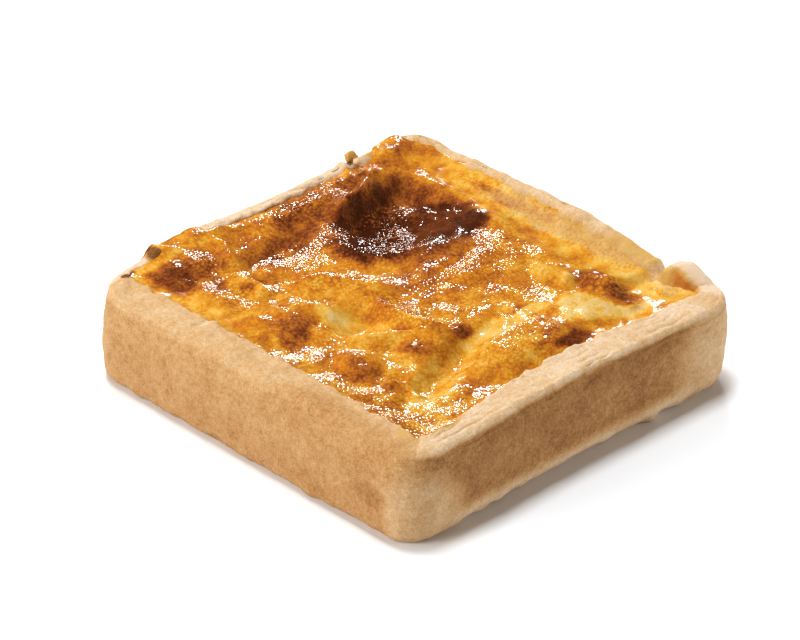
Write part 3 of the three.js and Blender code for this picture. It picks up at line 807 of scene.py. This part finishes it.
LIGHT_LEVEL = 1.36  # light on a level surface, as a share of what shows white as white

# The custard's bubbles: size and depth in millimetres, their mean distance, and how much painted shade
# darkens the hollows between them
BUBBLE_SIZE = 0.7
BUBBLE_DEPTH = 0.2
BUBBLE_MEAN = 0.32
PIT_SHADE = 0.5
# The custard's roughness where it is dull and where it is glossy, and the shares of grain between which
# it changes
DULL, GLOSSY = 0.95, 0.12
DULL_GRAIN, GLOSSY_GRAIN = -0.15, 0.1
# The dull film of pale custard: its share of the colour, and the shares of grain between which it comes in
FILM_SHARE = 0.6
FILM_FROM, FILM_TO = -0.55, -0.95
# The pastry's crumb: size and depth in millimetres, and the mean strength of the egg's colour on it
CRUMB_SIZE = 0.8
CRUMB_DEPTH = 0.24
STAIN_STRENGTH = 2.0


def srgb(red, green, blue):
    """Scene-linear colour of an 8-bit screen colour."""
    value = np.array([red, green, blue]) / 255
    linear = np.where(value <= 0.04045, value / 12.92, ((value + 0.055) / 1.055) ** 2.4)
    return (*linear.tolist(), 1.0)


def node(tree, kind, inputs=None, **settings):
    """A shader node with its settings, and inputs that are values or the sockets they come from."""
    made = tree.nodes.new(kind)
    for key, value in settings.items():
        setattr(made, key, value)
    for key, value in (inputs or {}).items():
        if isinstance(value, bpy.types.NodeSocket):
            tree.links.new(value, made.inputs[key])
        else:
            made.inputs[key].default_value = value
    return made


def ramp(tree, factor, stops):
    """A colour ramp through stops of position and colour."""
    made = node(tree, "ShaderNodeValToRGB", {"Fac": factor})
    elements = made.color_ramp.elements
    while len(elements) < len(stops):
        elements.new(1.0)
    for element, (position, colour) in zip(elements, stops):
        element.position, element.color = position, colour
    return made.outputs["Color"]


def math_node(tree, operation, a, b=0.0):
    """The result of one operation on two values or sockets."""
    return node(tree, "ShaderNodeMath", {0: a, 1: b}, operation=operation).outputs[0]


def object_place(tree):
    """The place in the piece's own coordinates, in metres."""
    return node(tree, "ShaderNodeTexCoord").outputs["Object"]


def mottle_group():
    """A node group for uneven colour: noise of a size in millimetres, as a shift either way of up to half
    an amount."""
    group = bpy.data.node_groups.new("mottle", "ShaderNodeTree")
    for name, value in (("Size", 1.0), ("Amount", 0.5)):
        group.interface.new_socket(name, in_out="INPUT", socket_type="NodeSocketFloat").default_value = value
    group.interface.new_socket("Shift", in_out="OUTPUT", socket_type="NodeSocketFloat")
    given = group.nodes.new("NodeGroupInput")
    scale = math_node(group, "DIVIDE", 1 / MM, given.outputs["Size"])
    inputs = {"Vector": object_place(group), "Scale": scale, "Detail": 4.0, "Roughness": 0.6}
    pattern = node(group, "ShaderNodeTexNoise", inputs).outputs["Fac"]
    centred = math_node(group, "SUBTRACT", pattern, 0.5)
    shift = math_node(group, "MULTIPLY", centred, given.outputs["Amount"])
    group.links.new(shift, group.nodes.new("NodeGroupOutput").inputs["Shift"])
    return group


def mottle(tree, size, amount):
    """The shift of the mottle group, for a size in millimetres."""
    return node(tree, "ShaderNodeGroup", {"Size": size, "Amount": amount}, node_tree=MOTTLE).outputs["Shift"]


def bubbles(tree, size):
    """Round bubbles of about that size: the smooth distance to scattered points."""
    inputs = {"Vector": object_place(tree), "Scale": 1 / (size * MM), "Smoothness": 0.4}
    return node(tree, "ShaderNodeTexVoronoi", inputs, feature="SMOOTH_F1").outputs["Distance"]


def add_bump(tree, shader, height):
    """Relief by shading, of a height in metres."""
    bump = node(tree, "ShaderNodeBump", {"Height": height, "Distance": 1.0, "Strength": 1.0})
    tree.links.new(bump.outputs["Normal"], shader.inputs["Normal"])


def attribute(tree, name):
    """A value that the mesh carries on its points."""
    return node(tree, "ShaderNodeAttribute", attribute_name=name).outputs["Fac"]


def new_material(name):
    """A material with its node tree and its one shader."""
    material = bpy.data.materials.new(name)
    material.use_nodes = True
    tree = material.node_tree
    return material, tree, tree.nodes["Principled BSDF"]


def lit(red, green, blue):
    """Base colour of a level surface that shows as this 8-bit screen colour under the studio's light."""
    return (*(value / LIGHT_LEVEL for value in srgb(red, green, blue)[:3]), 1.0)


def custard_material():
    """Egg custard, from pale yellow through orange to burnt by its browning and painted shade, glossy, with
    bubbles where it is grainy whose hollows are darkened as painted shade, and a dull film of pale custard
    where the grain is least."""
    material, tree, shader = new_material("custard")
    bubble, grainy = bubbles(tree, BUBBLE_SIZE), attribute(tree, "grain")
    coarse = math_node(tree, "ADD", attribute(tree, "browning_and_shade"), mottle(tree, size=2.5, amount=0.35))
    uneven = math_node(tree, "ADD", coarse, mottle(tree, size=0.7, amount=0.35))
    # Painted shade: the hollows between the bubbles are darkened by adding to the browning
    over_mean = math_node(tree, "SUBTRACT", bubble, BUBBLE_MEAN)
    pit_shade = math_node(tree, "MULTIPLY", over_mean, math_node(tree, "MULTIPLY", grainy, PIT_SHADE))
    amount = math_node(tree, "ADD", uneven, pit_shade)
    stops = [
        (0.00, lit(250, 211, 140)),
        (0.12, lit(247, 198, 98)),
        (0.25, lit(240, 176, 62)),
        (0.38, lit(226, 146, 36)),
        (0.50, lit(206, 120, 32)),
        (0.62, lit(175, 96, 36)),
        (0.75, lit(135, 66, 26)),
        (0.87, lit(104, 48, 18)),
        (1.00, lit(76, 32, 10)),
    ]
    reach = {"Value": grainy, "From Min": FILM_FROM, "From Max": FILM_TO, "To Max": FILM_SHARE}
    film = node(tree, "ShaderNodeMapRange", reach).outputs["Result"]
    blend = node(tree, "ShaderNodeMix", {"Factor": film}, data_type="RGBA")
    tree.links.new(ramp(tree, amount, stops), blend.inputs["A"])
    blend.inputs["B"].default_value = lit(216, 168, 108)
    tree.links.new(blend.outputs["Result"], shader.inputs["Base Color"])
    spread = {
        "Value": grainy,
        "From Min": DULL_GRAIN,
        "From Max": GLOSSY_GRAIN,
        "To Min": DULL,
        "To Max": GLOSSY,
    }
    tree.links.new(node(tree, "ShaderNodeMapRange", spread).outputs["Result"], shader.inputs["Roughness"])
    shader.inputs["Specular IOR Level"].default_value = 0.5
    fine = math_node(tree, "MULTIPLY", bubble, grainy)
    add_bump(tree, shader, math_node(tree, "MULTIPLY", fine, -BUBBLE_DEPTH * MM))
    return material


def pastry_material():
    """Baked shortcrust, from floury to brown by its toasting, stained by egg, with a fine crumb."""
    material, tree, shader = new_material("pastry")
    coarse = math_node(tree, "ADD", attribute(tree, "toast"), mottle(tree, size=1.0, amount=0.5))
    amount = math_node(tree, "ADD", coarse, mottle(tree, size=0.4, amount=0.75))
    stops = [
        (0.00, (0.68, 0.50, 0.34, 1)),
        (0.20, (0.59, 0.38, 0.195, 1)),
        (0.40, (0.51, 0.29, 0.12, 1)),
        (0.60, (0.41, 0.20, 0.067, 1)),
        (0.80, (0.28, 0.12, 0.036, 1)),
        (1.00, (0.16, 0.066, 0.019, 1)),
    ]
    stain = attribute(tree, "stain")
    egg = ramp(tree, stain, [(0.5, (0.54, 0.31, 0.083, 1)), (1.0, (0.45, 0.15, 0.026, 1))])
    strength = math_node(tree, "ADD", mottle(tree, size=2.5, amount=4.0), STAIN_STRENGTH)
    patchy = math_node(tree, "MULTIPLY", stain, strength)
    film = node(tree, "ShaderNodeMath", {0: patchy, 1: 0.0}, operation="ADD", use_clamp=True).outputs[0]
    blend = node(tree, "ShaderNodeMix", {"Factor": film}, data_type="RGBA")
    tree.links.new(ramp(tree, amount, stops), blend.inputs["A"])
    tree.links.new(egg, blend.inputs["B"])
    tree.links.new(blend.outputs["Result"], shader.inputs["Base Color"])
    shader.inputs["Roughness"].default_value = 0.65
    shader.inputs["Specular IOR Level"].default_value = 0.15
    crumb = mottle(tree, CRUMB_SIZE, amount=1.0)
    add_bump(tree, shader, math_node(tree, "MULTIPLY", crumb, CRUMB_DEPTH * MM))
    return material


# Lights: name, direction, distance and size in metres, power in watts, colour,
# whether it shows as glints alone
LIGHTS = [
    ("overhead", (0.02, 0.15, 1.0), 1.2, 0.3, 12.0, (0.90, 0.955, 1.0), False),
    ("left", (-0.8, 0.25, 0.42), 1.2, 0.6, 13.5, (1.0, 0.985, 0.96), False),
    ("right", (0.6, -0.75, 0.10), 1.1, 0.4, 7.5, (1, 1, 1), False),
    ("back", (0.5, 0.65, 0.45), 1.1, 0.5, 8.0, (1, 1, 1), False),
    ("glints", (0.60, 0.62, 0.34), 1.0, 0.10, 1.9, (1, 1, 1), True),
]
SURROUNDING_LIGHT = 0.05
TABLE_WHITE = 0.93
TABLE_HALF = 3.0
# The camera: its direction and distance from the middle of the base, and how far beside and above it looks
AZIMUTH = math.radians(-44.31)
ELEVATION = math.radians(31.86)
DISTANCE = 1077.14
AIM_RIGHT, AIM_UP = -2.159, 11.986
SENSOR, LENS = 36.0, 225.0


def area_light(name, direction, distance, size, power, colour, glints):
    """A square light at a distance in a direction, facing the quiche, that shows either as light or as
    glints."""
    data = bpy.data.lights.new(name, "AREA")
    data.size, data.energy, data.color = size, power, colour
    obj = bpy.data.objects.new(name, data)
    obj.location = Vector(direction).normalized() * distance
    obj.rotation_euler = obj.location.to_track_quat("Z", "Y").to_euler()
    obj.visible_glossy, obj.visible_diffuse = glints, not glints
    bpy.context.scene.collection.objects.link(obj)


def set_stage():
    """White table, soft studio light and the camera at the photograph's viewing angle."""
    scene = bpy.context.scene
    material, _, shader = new_material("table")
    shader.inputs["Base Color"].default_value = (TABLE_WHITE, TABLE_WHITE, TABLE_WHITE, 1)
    shader.inputs["Roughness"].default_value = 0.5
    mesh = bpy.data.meshes.new("table")
    corners = [(x * TABLE_HALF, y * TABLE_HALF, 0) for x, y in ((-1, -1), (1, -1), (1, 1), (-1, 1))]
    mesh.from_pydata(corners, [], [(0, 1, 2, 3)])
    mesh.materials.append(material)
    table = bpy.data.objects.new("table", mesh)
    scene.collection.objects.link(table)
    world = bpy.data.worlds.new("studio")
    world.use_nodes = True
    background = world.node_tree.nodes["Background"]
    background.inputs["Color"].default_value = (1, 1, 1, 1)
    background.inputs["Strength"].default_value = SURROUNDING_LIGHT
    scene.world = world
    for light in LIGHTS:
        area_light(*light)
    level = math.cos(ELEVATION)
    back = Vector((math.sin(AZIMUTH) * level, -math.cos(AZIMUTH) * level, math.sin(ELEVATION)))
    right = Vector((math.cos(AZIMUTH), math.sin(AZIMUTH), 0))
    aim = right * AIM_RIGHT + back.cross(right) * AIM_UP
    data = bpy.data.cameras.new("camera")
    data.sensor_width, data.lens = SENSOR, LENS
    data.clip_start, data.clip_end = 0.01, 20
    camera = bpy.data.objects.new("camera", data)
    camera.location = (back * DISTANCE + Vector(MIDDLE)) * MM
    camera.rotation_euler = (back * DISTANCE - aim).to_track_quat("Z", "Y").to_euler()
    scene.collection.objects.link(camera)
    scene.camera = camera
    scene.view_settings.view_transform = "Standard"


MOTTLE = mottle_group()
pastry = pastry_material()
case = pastry_case(pastry)
custard = custard_filling(custard_material())
bits = crumbs(pastry)
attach(bits, "root")
for piece, cad_node, slot in ((case, "pastry_case", "pastry"), (custard, "custard_filling", "custard")):
    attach(piece, "root")
    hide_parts(cad_node)
set_stage()
